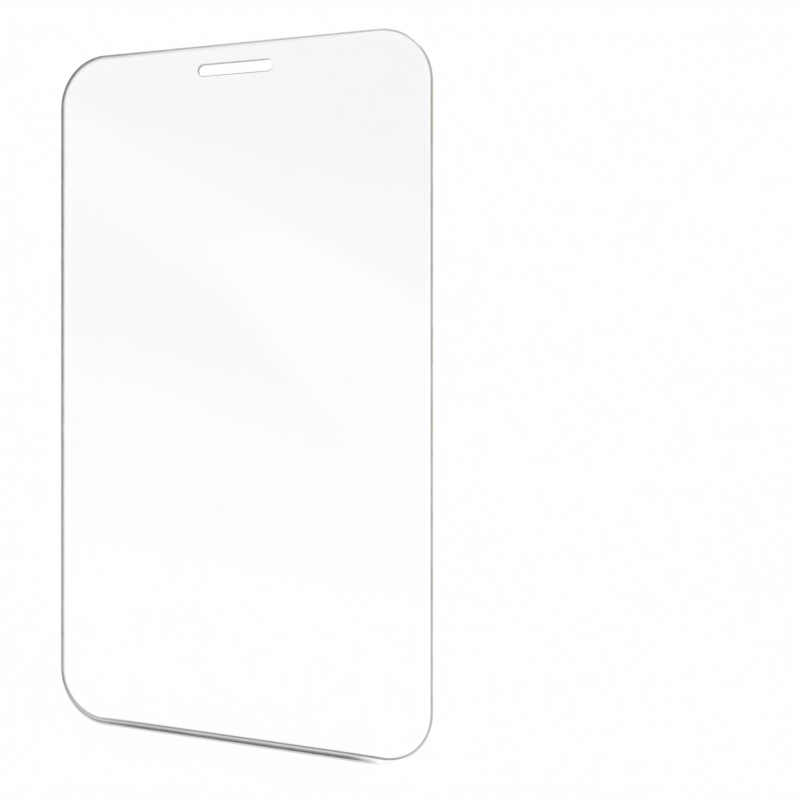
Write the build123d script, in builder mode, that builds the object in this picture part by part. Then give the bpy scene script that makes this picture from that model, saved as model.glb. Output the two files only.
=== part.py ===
"""Phone screen protector: one flat sheet of tempered glass, lying on its back.

Millimetres. The front faces +Z, the earpiece end is towards +Y and the back lies on Z = 0.
"""

import os

from build123d import *

os.makedirs("parts", exist_ok=True)

# Sheet of glass, seen from the front
sheet_width = 72.0
sheet_length = 125.0
sheet_thickness = 0.5
corner_radius = 9.4

# Edge of the sheet: a curve ground round the front, a straight land below it, and at the back
# a fine chamfer that takes off the cut's sharpness
rim_width = 1.3
land_height = 0.24
seam_chamfer = 0.06
rim_drop = sheet_thickness - land_height - seam_chamfer

# Earpiece slot, right through the sheet, with its centre line this far in from the end
slot_length = 14.4
slot_width = 2.0
slot_inset = 4.5
slot_rounding = 0.15

# The grinding wheel's profile stands this far outside the glass
wheel_overrun = 1.0


with BuildPart() as protector_glass:
    # The cut sheet with its rounded corners
    with BuildSketch() as outline:
        RectangleRounded(sheet_width, sheet_length, corner_radius)
    extrude(amount=sheet_thickness)

    # The slot is drilled and milled out before the edges are ground
    with BuildSketch() as slot:
        with Locations((0, sheet_length / 2 - slot_inset)):
            SlotOverall(slot_length, slot_width)
    extrude(amount=sheet_thickness, mode=Mode.SUBTRACT)

    front_face = protector_glass.faces().sort_by(Axis.Z)[-1]
    back_face = protector_glass.faces().sort_by(Axis.Z)[0]
    rim_path = front_face.outer_wire()
    slot_front_edges = front_face.inner_wires()[0].edges()

    # The back is seamed all round, outline and slot alike, and the slot's front edge is eased
    chamfer(back_face.edges(), seam_chamfer)
    fillet(slot_front_edges, slot_rounding)

    # The curved front rim: a quarter ellipse, tangent to the front face and to the land,
    # carried round the whole outline as the grinding wheel is
    wheel_plane = Plane(origin=(sheet_width / 2, 0, sheet_thickness), x_dir=(1, 0, 0), z_dir=(0, -1, 0))
    with BuildSketch(wheel_plane) as wheel_profile:
        with BuildLine():
            ground_curve = EllipticalCenterArc(
                (-rim_width, -rim_drop), rim_width, rim_drop, start_angle=0, arc_size=90
            )
            Polyline(
                ground_curve @ 1,
                (-rim_width, wheel_overrun),
                (wheel_overrun, wheel_overrun),
                (wheel_overrun, -rim_drop),
                ground_curve @ 0,
            )
        make_face()
    sweep(path=rim_path, mode=Mode.SUBTRACT)

protector_glass.part.label = "protector_glass"
export_step(protector_glass.part, "parts/protector_glass.step")
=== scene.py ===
import math

import bmesh
import bpy
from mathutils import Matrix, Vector


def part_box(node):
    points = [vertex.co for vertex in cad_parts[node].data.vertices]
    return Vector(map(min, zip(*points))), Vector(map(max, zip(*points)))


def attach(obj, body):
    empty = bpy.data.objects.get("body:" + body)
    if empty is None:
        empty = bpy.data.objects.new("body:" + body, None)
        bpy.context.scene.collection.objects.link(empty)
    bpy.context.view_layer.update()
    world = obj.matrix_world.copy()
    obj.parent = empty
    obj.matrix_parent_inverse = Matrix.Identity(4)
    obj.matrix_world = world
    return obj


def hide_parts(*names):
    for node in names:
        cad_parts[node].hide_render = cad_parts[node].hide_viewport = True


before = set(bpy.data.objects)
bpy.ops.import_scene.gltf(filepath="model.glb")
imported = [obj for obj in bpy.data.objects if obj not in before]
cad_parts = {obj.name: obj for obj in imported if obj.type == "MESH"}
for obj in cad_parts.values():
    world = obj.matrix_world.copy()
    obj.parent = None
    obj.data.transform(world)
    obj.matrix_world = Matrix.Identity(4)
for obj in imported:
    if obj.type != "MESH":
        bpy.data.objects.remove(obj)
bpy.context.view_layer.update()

# Phone screen protector: one clear sheet of tempered glass, lying on its back on white card.
# Metres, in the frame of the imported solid: front up, earpiece end towards +Y.

MM = 0.001

# Sheet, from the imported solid's own box, with the edge and slot sizes of the part
GLASS_NODE = "protector_glass"
sheet_low, sheet_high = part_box(GLASS_NODE)
SHEET_WIDTH = sheet_high.x - sheet_low.x
SHEET_LENGTH = sheet_high.y - sheet_low.y
SHEET_THICKNESS = sheet_high.z - sheet_low.z
CORNER_RADIUS = 9.4 * MM
RIM_WIDTH = 1.3 * MM
LAND_HEIGHT = 0.24 * MM
SEAM_CHAMFER = 0.06 * MM
RIM_DROP = SHEET_THICKNESS - LAND_HEIGHT - SEAM_CHAMFER
SLOT_LENGTH = 14.4 * MM
SLOT_WIDTH = 2.0 * MM
SLOT_INSET = 4.5 * MM
SLOT_CENTRE_Y = sheet_high.y - SLOT_INSET
SLOT_ROUNDING = 0.15 * MM

# Painted shade on the ground rim: its two grey lines, partly the ground finish's own grey and partly
# painted shade, by places round the outline: how strongly each shows, and how far across the rim the
# inner one lies. The outer line is darkest on the upper left, the left and the lower end, and faint on
# the right; the inner line shows most at the lower end and not on the left. Places count in quarters,
# from the top of the right side round by the earpiece end. The first half of each quarter is a corner,
# and the second half is the side after it.
RIM_SHADE_LINES = {
    "outer_shade_line": (
        (0.0, 0.0), (0.25, 0.1), (0.5, 0.0), (0.85, 0.35), (1.0, 0.85), (1.25, 2.2), (1.5, 1.9),
        (1.85, 1.41), (2.05, 1.33), (2.14, 1.2), (2.25, 0.8), (2.5, 1.2), (2.56, 2.25), (2.95, 2.25),
        (2.99, 0.0), (4.0, 0.0),
    ),
    "inner_shade_line": (
        (0.0, 0.6), (0.25, 0.5), (0.5, 0.42), (0.7, 0.3), (1.0, 0.3), (1.25, 0.0), (2.0, 0.0),
        (2.25, 0.5), (2.45, 0.42), (2.56, 0.85), (3.0, 0.95), (3.25, 0.5), (4.0, 0.6),
    ),
    "inner_shade_place": (
        (0.0, 0.85), (1.5, 0.85), (2.0, 0.6), (2.25, 0.4), (2.5, 0.27), (2.56, 0.2), (2.65, 0.17),
        (2.94, 0.13), (3.0, 0.2), (3.25, 0.65), (3.5, 0.85), (4.0, 0.85),
    ),
}

# Painted shade on the slot's wall: how strongly its grey shows, by places round it, most on the lower
# wall and least at the right end: its lower wall at 0 and 2, its right end at a half, its upper wall at 1
# and its left end at one and a half
SLOT_WALL_SHADES = {
    "slot_wall_shade": ((0.0, 1.8), (0.25, 0.5), (0.5, 0.15), (0.75, 0.4), (1.0, 0.8), (1.5, 0.6), (2.0, 1.8)),
}

# Painted shade: the rim grows a little darker from the sheet's middle to this far towards the earpiece end
DARKER_RIM_Y = 0.3 * SHEET_LENGTH
DARKER_RIM = 0.93

# At the lower end the upright land under the outer line holds back the low lamp's light
LAND_SHADE_START_Y = -0.36 * SHEET_LENGTH
LAND_SHADE_FULL_Y = -0.45 * SHEET_LENGTH

# Painted glints: faint tints on the outermost line of the right side
GLINT_START_X = SHEET_WIDTH / 2 - 0.45 * MM
GLINT_FULL_X = SHEET_WIDTH / 2 - 0.3 * MM

# Refractive index of soda-lime glass
GLASS_IOR = 1.52

# Fineness of the mesh
CORNER_STEPS = 32
SIDE_STEPS = 20
SLOT_END_STEPS = 24
CURVE_STEPS = 10

# Camera over the sheet and right of it, tilted across its width alone, so that its long sides stay
# upright in the picture. The frame is shifted down, to take in the lower end.
CAMERA_AT = (60.0 * MM, 12.79 * MM, 121.63 * MM)
CAMERA_TILT = math.radians(13.74)
LENS = 33.27
SENSOR = 36.0
FRAME_SHIFT = -0.0988
NEAREST_SEEN = 1.0 * MM

# Light: a low lamp beyond the earpiece end, a broad shadowless fill on the right, and the room
KEY_TURN = math.radians(75)
KEY_RISE = math.radians(33)
KEY_STRENGTH = 2.145
KEY_SPREAD = math.radians(8)
FILL_TURN = math.radians(-25)
FILL_RISE = math.radians(25)
FILL_STRENGTH = 1.095
FILL_SPREAD = math.radians(40)

# Ceiling panels, by the soft borders between them that the sheet mirrors to the camera: two points
# of each border, where it shows on the sheet
LOW_BORDER = ((-33.0 * MM, -27.0 * MM), (22.4 * MM, -31.8 * MM))
MIDDLE_BORDER = ((-33.0 * MM, 8.0 * MM), (19.7 * MM, -5.0 * MM))
BAND_BORDER = ((-33.0 * MM, 35.5 * MM), (-10.0 * MM, 24.0 * MM))
CAP_BORDER = ((-15.5 * MM, 26.7 * MM), (8.7 * MM, 30.2 * MM))
WEDGE_BORDER = ((14.2 * MM, -1.2 * MM), (-8.9 * MM, 27.3 * MM))
FADE_BORDER = ((-4.0 * MM, 0.0 * MM), (-4.0 * MM, 60.0 * MM))
STRIP_BORDER = ((-8.4 * MM, 45.6 * MM), (21.6 * MM, 38.3 * MM))
TOP_BORDER = ((-33.0 * MM, 52.5 * MM), (22.4 * MM, 23.0 * MM))
RIGHT_BORDER = ((45.0 * MM, 0.0 * MM), (45.0 * MM, 60.0 * MM))
PANEL_SOFTNESS = 5.0 * MM
HAZE_SOFTNESS = 14.0 * MM
FADE_SOFTNESS = 60.0 * MM

# Brightness of the panels, with white at 1
WHITE = 1.0
LOWER_PANEL = 0.8
MIDDLE_PANEL = 0.5
BAND_PANEL = 0.65
WEDGE_PANEL = 0.8
STRIP_PANEL = 0.42
TOP_LEFT_PANEL = 0.36
TOP_RIGHT_PANEL = 0.1
RIGHT_PANEL = 0.3

# Walls, by rise, the sine of the angle above the floor: white at the foot, greyer higher up, and
# then the ceiling, whose panels are worked out above its lowest rise. The walls stay white higher up
# on the far left.
FAR_LEFT = (-math.sqrt(0.5), math.sqrt(0.5), 0.0)
FAR_LEFT_SOFTNESS = 0.6
FOOT_RISE = 0.1
FAR_LEFT_FOOT_RISE = 0.35
GREY_RISE = 0.55
WALL_GREY = 0.45
CEILING_START_RISE = 0.5
CEILING_FULL_RISE = 0.65
CEILING_LOWEST_RISE = 0.05

# The wall on the near right, this far against the far left way, has a slanting soft border above its
# foot, square to a way of its own, with a paler part on one side and a greyer part on the other
NEAR_RIGHT_START = -0.2
NEAR_RIGHT_FULL = -0.6
NEAR_BORDER = (0.40, 0.69, 0.60)
NEAR_SOFTNESS = 0.08
NEAR_PALER = 1.1
NEAR_GREYER = 0.78
NEAR_START_RISE = 0.15
NEAR_FULL_RISE = 0.21

FLOOR_GAP = 0.02 * MM
FLOOR_SIZE = 6.0


def linear(hex_colour):
    """An sRGB hex colour as the linear RGBA that a socket takes."""
    channels = [int(hex_colour[i:i + 2], 16) / 255 for i in (1, 3, 5)]
    return (*(c / 12.92 if c <= 0.04045 else ((c + 0.055) / 1.055) ** 2.4 for c in channels), 1.0)


def add_node(tree, kind, inputs=None, stops=(), **settings):
    """Adds one node, with its settings, a ramp's stops, and inputs that take a value or an output."""
    made = tree.nodes.new("ShaderNode" + kind)
    for name, value in settings.items():
        setattr(made, name, value)
    for i, (place, colour) in enumerate(stops):
        stop = made.color_ramp.elements[i] if i < 2 else made.color_ramp.elements.new(place)
        stop.position = place
        stop.color = linear(colour)
    for name, value in (inputs or {}).items():
        if isinstance(value, bpy.types.NodeSocket):
            tree.links.new(value, made.inputs[name])
        else:
            made.inputs[name].default_value = value
    return made


def new_material(name):
    """An empty material and its node tree."""
    material = bpy.data.materials.new(name)
    material.use_nodes = True
    material.node_tree.nodes.clear()
    return material, material.node_tree


def let_light_through(tree, surface, passed):
    """Ends a glass material: the light that falls on the floor passes straight through it, tinted."""
    path = add_node(tree, "LightPath").outputs
    tinted = add_node(tree, "BsdfTransparent", {"Color": passed}).outputs[0]
    clear = add_node(tree, "BsdfTransparent", {"Color": linear("#FFFFFF")}).outputs[0]
    lamps = add_node(tree, "MixShader", {0: path["Is Shadow Ray"], 1: surface, 2: tinted}).outputs[0]
    soft = add_node(tree, "MixShader", {0: path["Is Diffuse Ray"], 1: lamps, 2: clear}).outputs[0]
    add_node(tree, "OutputMaterial", {"Surface": soft})


def fire_polished_glass():
    """Float glass, toughened: clear and colourless, with a long faint wave that bends what it mirrors."""
    material, tree = new_material("fire_polished_float_glass")
    place = add_node(tree, "TexCoord").outputs["Object"]
    wave_length = 30.0 * MM
    wave = add_node(tree, "TexNoise", {"Vector": place, "Scale": 1 / wave_length, "Detail": 1.0})
    wavy = add_node(tree, "Bump", {"Height": wave.outputs["Fac"], "Distance": 0.02 * MM, "Strength": 1.0})
    glass = add_node(tree, "BsdfPrincipled", {
        "Base Color": linear("#FFFFFF"),
        "Roughness": 0.01,
        "IOR": GLASS_IOR,
        "Transmission Weight": 1.0,
        "Normal": wavy.outputs[0],
    })
    let_light_through(tree, glass.outputs[0], linear("#FFFFFF"))
    return material


def rim_finish_and_shade(tree, place, across, outer_shade_amount):
    """Ground grey with painted shade: an uneven line darkening to the outer border, and a finer inner one.
    """
    inner_shade_amount = add_node(tree, "Attribute", attribute_name="inner_shade_line").outputs["Fac"]
    inner_shade_place = add_node(tree, "Attribute", attribute_name="inner_shade_place").outputs["Fac"]
    offset = add_node(tree, "Math", {0: across, 1: inner_shade_place}, operation="SUBTRACT").outputs[0]
    aside = add_node(tree, "Math", {0: offset}, operation="ABSOLUTE").outputs[0]
    outer_shade_line = add_node(tree, "ValToRGB", {"Fac": across}, stops=(
        (0.25, "#FFFFFF"), (0.5, "#CDCDCD"), (0.75, "#949494"),
    )).outputs[0]
    inner_shade_line = add_node(tree, "ValToRGB", {"Fac": aside}, stops=(
        (0.1, "#707070"), (0.21, "#FFFFFF"),
    )).outputs[0]
    # Noise makes the outer line's grey and painted shade about a tenth stronger and weaker along the rim
    line_noise_length = 3.0 * MM
    line_noise = add_node(tree, "TexNoise", {"Vector": place, "Scale": 1 / line_noise_length, "Detail": 2.0})
    uneven = add_node(tree, "MapRange", {
        "Value": line_noise.outputs["Fac"], "From Min": 0.3, "From Max": 0.7, "To Min": 1.12, "To Max": 0.92,
    }).outputs[0]
    line_strength = add_node(tree, "Math", {0: outer_shade_amount, 1: uneven}, operation="MULTIPLY").outputs[0]
    outer_grey = add_node(tree, "Math", {0: outer_shade_line, 1: line_strength}, operation="POWER").outputs[0]
    inner_grey = add_node(tree, "Math", {0: inner_shade_line, 1: inner_shade_amount}, operation="POWER").outputs[0]
    return add_node(tree, "Math", {0: outer_grey, 1: inner_grey}, operation="MULTIPLY").outputs[0]


def rim_painted_glints(tree, place, along_width):
    """Painted glints: faint green and yellow tints on the outermost line of the right side alone."""
    right_line = add_node(tree, "MapRange", {
        "Value": along_width, "From Min": GLINT_START_X, "From Max": GLINT_FULL_X,
    }).outputs[0]
    glint_length = 11.0 * MM
    glints = add_node(tree, "TexNoise", {
        "Vector": place, "Scale": 1 / glint_length, "Detail": 0.0,
    }).outputs["Fac"]
    glint = add_node(tree, "Math", {0: glints, 1: right_line}, operation="MULTIPLY").outputs[0]
    return add_node(tree, "ValToRGB", {"Fac": glint}, stops=(
        (0.36, "#FFFFFF"), (0.42, "#DDF2EC"), (0.48, "#FFFFFF"),
        (0.55, "#FFFFFF"), (0.61, "#E0F1DD"), (0.68, "#F3F0D8"),
    )).outputs[0]


def ground_rim_painted_shade_and_glints():
    """Glass ground to a curve with fine diamond, then buffed: grey lines with painted shade by its borders,
    clear between.
    """
    material, tree = new_material("diamond_ground_rim_painted_shade_and_glints")
    place = add_node(tree, "TexCoord").outputs["Object"]
    where = add_node(tree, "SeparateXYZ", {0: place}).outputs
    across = add_node(tree, "Attribute", attribute_name="edge_depth").outputs["Fac"]
    outer_shade_amount = add_node(tree, "Attribute", attribute_name="outer_shade_line").outputs["Fac"]
    # Painted shade: the grey lines are darkest on the upper left, the left and the lower end, on the
    # finish's own grey
    grey = rim_finish_and_shade(tree, place, across, outer_shade_amount)
    # Painted shade, a little darker towards the earpiece end
    dimmed = add_node(tree, "MapRange", {
        "Value": where["Y"], "From Min": 0.0, "From Max": DARKER_RIM_Y, "To Min": 1.0, "To Max": DARKER_RIM,
    }).outputs[0]
    toned = add_node(tree, "Math", {0: grey, 1: dimmed}, operation="MULTIPLY").outputs[0]
    # Painted glints on the right side's outermost line
    tint = rim_painted_glints(tree, place, where["X"])
    colour = add_node(tree, "VectorMath", {0: tint, "Scale": toned}, operation="SCALE").outputs[0]
    glass = add_node(tree, "BsdfPrincipled", {
        "Base Color": colour,
        "Roughness": 0.25,
        "IOR": GLASS_IOR,
        "Transmission Weight": 0.5,
    })
    lower_end = add_node(tree, "MapRange", {
        "Value": where["Y"], "From Min": LAND_SHADE_START_Y, "From Max": LAND_SHADE_FULL_Y,
    }).outputs[0]
    land = add_node(tree, "ValToRGB", {"Fac": across}, stops=(
        (0.9, "#FFFFFF"), (0.98, "#484848"),
    )).outputs[0]
    blocking = add_node(tree, "Math", {0: lower_end, 1: outer_shade_amount}, operation="MULTIPLY").outputs[0]
    passed = add_node(tree, "Math", {0: land, 1: blocking}, operation="POWER").outputs[0]
    let_light_through(tree, glass.outputs[0], passed)
    return material


def sawn_slot_wall_painted_shade():
    """Glass cut with a thin wheel and left matt: a fine pale grey line round the slot, partly painted
    shade.
    """
    material, tree = new_material("sawn_glass_slot_wall_painted_shade")
    place = add_node(tree, "TexCoord").outputs["Object"]
    # The wheel's own grit is finer: this is as coarse as it needs to be to show
    grit = 0.25 * MM
    grain = add_node(tree, "TexNoise", {"Vector": place, "Scale": 1 / grit, "Detail": 2.0})
    tone = add_node(tree, "ValToRGB", {"Fac": grain.outputs["Fac"]}, stops=(
        (0.3, "#989898"), (0.7, "#BCBCBC"),
    ))
    # Painted shade: how strongly the wall's grey shows at each place round the slot
    amount = add_node(tree, "Attribute", attribute_name="slot_wall_shade").outputs["Fac"]
    grey = add_node(tree, "Math", {0: tone.outputs[0], 1: amount}, operation="POWER")
    glass = add_node(tree, "BsdfPrincipled", {
        "Base Color": grey.outputs[0],
        "Roughness": 0.3,
        "IOR": GLASS_IOR,
        "Transmission Weight": 0.6,
    })
    let_light_through(tree, glass.outputs[0], linear("#FFFFFF"))
    return material


def white_card():
    """Matt white card under the sheet."""
    material, tree = new_material("matt_white_card")
    card = add_node(tree, "BsdfPrincipled", {
        "Base Color": linear("#FAFAFA"),
        "Roughness": 1.0,
        "Specular IOR Level": 0.0,
    })
    add_node(tree, "OutputMaterial", {"Surface": card.outputs[0]})
    return material


def outline_places():
    """Places round the sheet's outline, in quarters: each corner's points, then its next side's."""
    places = []
    for quarter in range(4):
        places += [quarter + step / CORNER_STEPS / 2 for step in range(CORNER_STEPS)]
        places += [quarter + 0.5 + step / SIDE_STEPS / 2 for step in range(SIDE_STEPS)]
    return places


def sheet_outline(inset, height):
    """Points at the places round the sheet's outline, that far inside it."""
    radius = CORNER_RADIUS - inset
    arc_x = SHEET_WIDTH / 2 - CORNER_RADIUS
    arc_y = SHEET_LENGTH / 2 - CORNER_RADIUS
    corners = ((arc_x, arc_y), (-arc_x, arc_y), (-arc_x, -arc_y), (arc_x, -arc_y))
    centres = [Vector(corner) for corner in corners]
    points = []
    for place in outline_places():
        quarter = int(place)
        round_corner = min(2 * (place - quarter), 1.0)
        along_side = max(2 * (place - quarter) - 1, 0.0)
        centre = centres[quarter].lerp(centres[(quarter + 1) % 4], along_side)
        turn = math.pi / 2 * (quarter + round_corner)
        points.append((centre.x + radius * math.cos(turn), centre.y + radius * math.sin(turn), height))
    return points


def slot_places():
    """Places round the earpiece slot: the points of its right end from 0 to 1, then its left end's to 2."""
    return [end + step / SLOT_END_STEPS for end in range(2) for step in range(SLOT_END_STEPS + 1)]


def slot_outline(growth, height):
    """Points at the places round the earpiece slot, that far outside its wall."""
    radius = SLOT_WIDTH / 2 + growth
    arc_x = SLOT_LENGTH / 2 - SLOT_WIDTH / 2
    points = []
    for half, side in enumerate([1, -1]):
        for step in range(SLOT_END_STEPS + 1):
            turn = math.pi * (half + step / SLOT_END_STEPS) - math.pi / 2
            x = side * arc_x + radius * math.cos(turn)
            points.append((x, SLOT_CENTRE_Y + radius * math.sin(turn), height))
    return points


def edge_profile(width, drop):
    """The edge in section, front to back: distance from the wall, height, and how deep into the edge."""
    rows = []
    for step in range(CURVE_STEPS + 1):
        turn = math.pi / 2 * step / CURVE_STEPS
        depth = math.sin(turn)
        rows.append((width * (1 - depth), SHEET_THICKNESS - drop * (1 - math.cos(turn)), depth))
    rows.append((0.0, SEAM_CHAMFER, 1.0))
    rows.append((SEAM_CHAMFER, 0.0, 1.0))
    return rows


def amount_at(place, knots):
    """A line's amount at one place, between the knots on both sides of it."""
    for (before, low), (after, high) in zip(knots, knots[1:]):
        if place <= after:
            return low + (high - low) * (place - before) / (after - before)


def line_amounts(shape, lines, places):
    """A new value on the points for each line of an edge, with its amounts at the edge's places."""
    amounts = []
    for name, knots in lines.items():
        amounts.append((shape.verts.layers.float.new(name), [amount_at(place, knots) for place in places]))
    return amounts


def build_edge(shape, edge_depth, outline, profile, amounts, material_index):
    """One edge of the sheet: rings of points from front to back, joined by smooth bands."""
    rings = []
    for away, height, depth in profile:
        ring = [shape.verts.new(point) for point in outline(away, height)]
        for i, vert in enumerate(ring):
            vert[edge_depth] = depth
            for layer, values in amounts:
                vert[layer] = values[i]
        rings.append(ring)
    for upper, lower in zip(rings, rings[1:]):
        for i in range(len(upper)):
            j = (i + 1) % len(upper)
            band = shape.faces.new((upper[i], lower[i], lower[j], upper[j]))
            band.smooth = True
            band.material_index = material_index
    return rings


def ring_sides(shape, ring):
    """The mesh edges from point to point round one ring."""
    return [shape.edges.get((ring[i - 1], ring[i])) for i in range(len(ring))]


def build_sheet(face_material, rim_material, slot_material):
    """The sheet: polished front and back, joined by the ground rim and by the slot's wall."""
    shape = bmesh.new()
    edge_depth = shape.verts.layers.float.new("edge_depth")
    rim_amounts = line_amounts(shape, RIM_SHADE_LINES, outline_places())
    slot_amounts = line_amounts(shape, SLOT_WALL_SHADES, slot_places())
    rim_profile = edge_profile(RIM_WIDTH, RIM_DROP)
    slot_profile = edge_profile(SLOT_ROUNDING, SLOT_ROUNDING)
    rim = build_edge(shape, edge_depth, sheet_outline, rim_profile, rim_amounts, material_index=1)
    slot = build_edge(shape, edge_depth, slot_outline, slot_profile, slot_amounts, material_index=2)
    for face in (0, -1):
        borders = ring_sides(shape, rim[face]) + ring_sides(shape, slot[face])
        bmesh.ops.triangle_fill(shape, edges=borders, use_beauty=True, use_dissolve=False)
    for rings in (rim, slot):
        for sharp_ring in (rings[0], rings[-2], rings[-1]):
            for side in ring_sides(shape, sharp_ring):
                side.smooth = False
    bmesh.ops.recalc_face_normals(shape, faces=shape.faces)
    mesh = bpy.data.meshes.new("protector_sheet")
    shape.to_mesh(mesh)
    shape.free()
    for material in (face_material, rim_material, slot_material):
        mesh.materials.append(material)
    sheet = bpy.data.objects.new("protector_sheet", mesh)
    bpy.context.scene.collection.objects.link(sheet)
    return sheet


def lay_floor():
    """The card that the sheet lies on, a hair below its back."""
    mesh = bpy.data.meshes.new("floor")
    half = FLOOR_SIZE / 2
    corners = [(x, y, -FLOOR_GAP) for x, y in ((-half, -half), (half, -half), (half, half), (-half, half))]
    mesh.from_pydata(corners, [], [(0, 1, 2, 3)])
    mesh.materials.append(white_card())
    floor = bpy.data.objects.new("floor", mesh)
    bpy.context.scene.collection.objects.link(floor)
    return floor


def hang_lamp(name, turn, rise, strength, spread, fill=False):
    """A distant soft lamp, turned from +X towards +Y and raised.

    A fill casts no shadow and isn't seen in the glass.
    """
    lamp = bpy.data.lights.new(name, "SUN")
    lamp.energy = strength
    lamp.angle = spread
    lamp.use_shadow = not fill
    holder = bpy.data.objects.new(name, lamp)
    holder.visible_glossy = not fill
    holder.visible_transmission = not fill
    towards = Vector((math.cos(rise) * math.cos(turn), math.cos(rise) * math.sin(turn), math.sin(rise)))
    holder.rotation_euler = towards.to_track_quat("Z", "Y").to_euler()
    bpy.context.scene.collection.objects.link(holder)


def panel_border(tree, overhead, border, right_level, left_level, softness=PANEL_SOFTNESS):
    """The ceiling's brightness on both sides of a soft straight border, right and left of its way.

    The sheet mirrors each way overhead to the camera at one point: the camera's own place over the
    sheet, plus the camera's height times that way's slope. Its distance from the border counts.
    """
    start, end = (Vector(point) for point in border)
    along = (end - start).normalized()
    left = Vector((-along.y, along.x))
    height = CAMERA_AT[2]
    offset = left.dot(Vector(CAMERA_AT[:2]) - start)
    distance = add_node(tree, "VectorMath", {
        0: overhead, 1: (left.x * height, left.y * height, offset),
    }, operation="DOT_PRODUCT").outputs["Value"]
    return add_node(tree, "MapRange", {
        "Value": distance, "From Min": -softness / 2, "From Max": softness / 2,
        "To Min": right_level, "To Max": left_level,
    }, interpolation_type="SMOOTHSTEP").outputs[0]


def ceiling_level(tree, way, rise):
    """The ceiling's brightness: dim, with soft bright panels that the glass mirrors."""
    above = add_node(tree, "Math", {0: rise, 1: CEILING_LOWEST_RISE}, operation="MAXIMUM").outputs[0]
    stretch = add_node(tree, "Math", {0: 1.0, 1: above}, operation="DIVIDE").outputs[0]
    overhead = add_node(tree, "VectorMath", {0: way, "Scale": stretch}, operation="SCALE").outputs[0]
    low = panel_border(tree, overhead, LOW_BORDER, WHITE, LOWER_PANEL)
    middle = panel_border(tree, overhead, MIDDLE_BORDER, low, MIDDLE_PANEL, HAZE_SOFTNESS)
    band = panel_border(tree, overhead, BAND_BORDER, middle, BAND_PANEL, HAZE_SOFTNESS)
    cap = panel_border(tree, overhead, CAP_BORDER, WEDGE_PANEL, band)
    wedge = panel_border(tree, overhead, WEDGE_BORDER, cap, band)
    fade = panel_border(tree, overhead, FADE_BORDER, TOP_RIGHT_PANEL, TOP_LEFT_PANEL, FADE_SOFTNESS)
    strip = panel_border(tree, overhead, STRIP_BORDER, STRIP_PANEL, fade, HAZE_SOFTNESS)
    top = panel_border(tree, overhead, TOP_BORDER, wedge, strip)
    return panel_border(tree, overhead, RIGHT_BORDER, RIGHT_PANEL, top)


def wall_level(tree, way, rise):
    """The walls' brightness: white at the foot, greyer higher up, with a border on the near right."""
    far_left = add_node(tree, "VectorMath", {0: way, 1: FAR_LEFT}, operation="DOT_PRODUCT").outputs["Value"]
    foot = add_node(tree, "MapRange", {
        "Value": far_left, "From Min": -FAR_LEFT_SOFTNESS / 2, "From Max": FAR_LEFT_SOFTNESS / 2,
        "To Min": FOOT_RISE, "To Max": FAR_LEFT_FOOT_RISE,
    }, interpolation_type="SMOOTHSTEP").outputs[0]
    plain = add_node(tree, "MapRange", {
        "Value": rise, "From Min": foot, "From Max": GREY_RISE, "To Min": WHITE, "To Max": WALL_GREY,
    }, interpolation_type="SMOOTHSTEP").outputs[0]
    aside = add_node(tree, "VectorMath", {0: way, 1: NEAR_BORDER}, operation="DOT_PRODUCT").outputs["Value"]
    near = add_node(tree, "MapRange", {
        "Value": aside, "From Min": -NEAR_SOFTNESS / 2, "From Max": NEAR_SOFTNESS / 2,
        "To Min": NEAR_GREYER, "To Max": NEAR_PALER,
    }, interpolation_type="SMOOTHSTEP").outputs[0]
    near_right = add_node(tree, "MapRange", {
        "Value": far_left, "From Min": NEAR_RIGHT_FULL, "From Max": NEAR_RIGHT_START,
        "To Min": near, "To Max": WHITE,
    }, interpolation_type="SMOOTHSTEP").outputs[0]
    above_foot = add_node(tree, "MapRange", {
        "Value": rise, "From Min": NEAR_START_RISE, "From Max": NEAR_FULL_RISE,
        "To Min": WHITE, "To Max": near_right,
    }, interpolation_type="SMOOTHSTEP").outputs[0]
    return add_node(tree, "Math", {0: plain, 1: above_foot}, operation="MULTIPLY").outputs[0]


def light_room():
    """The room round the sheet: its walls, and above them its ceiling."""
    world = bpy.data.worlds.new("studio")
    bpy.context.scene.world = world
    world.use_nodes = True
    tree = world.node_tree
    tree.nodes.clear()
    way = add_node(tree, "TexCoord").outputs["Generated"]
    rise = add_node(tree, "SeparateXYZ", {0: way}).outputs["Z"]
    level = add_node(tree, "MapRange", {
        "Value": rise, "From Min": CEILING_START_RISE, "From Max": CEILING_FULL_RISE,
        "To Min": wall_level(tree, way, rise), "To Max": ceiling_level(tree, way, rise),
    }, interpolation_type="SMOOTHSTEP")
    sky = add_node(tree, "Background", {"Color": level.outputs[0], "Strength": 1.0})
    add_node(tree, "OutputWorld", {"Surface": sky.outputs[0]})


def set_camera():
    """The photograph's view of the sheet, looking down on it."""
    lens = bpy.data.cameras.new("camera")
    lens.sensor_width = SENSOR
    lens.lens = LENS
    lens.shift_y = FRAME_SHIFT
    lens.clip_start = NEAREST_SEEN
    camera = bpy.data.objects.new("camera", lens)
    camera.location = CAMERA_AT
    camera.rotation_euler = (0.0, CAMERA_TILT, 0.0)
    bpy.context.scene.collection.objects.link(camera)
    bpy.context.scene.camera = camera


sheet = build_sheet(fire_polished_glass(), ground_rim_painted_shade_and_glints(), sawn_slot_wall_painted_shade())
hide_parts(GLASS_NODE)
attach(sheet, "root")

lay_floor()
hang_lamp("key_lamp", KEY_TURN, KEY_RISE, KEY_STRENGTH, KEY_SPREAD)
hang_lamp("fill_lamp", FILL_TURN, FILL_RISE, FILL_STRENGTH, FILL_SPREAD, fill=True)
light_room()
set_camera()
bpy.context.scene.view_settings.view_transform = "Standard"
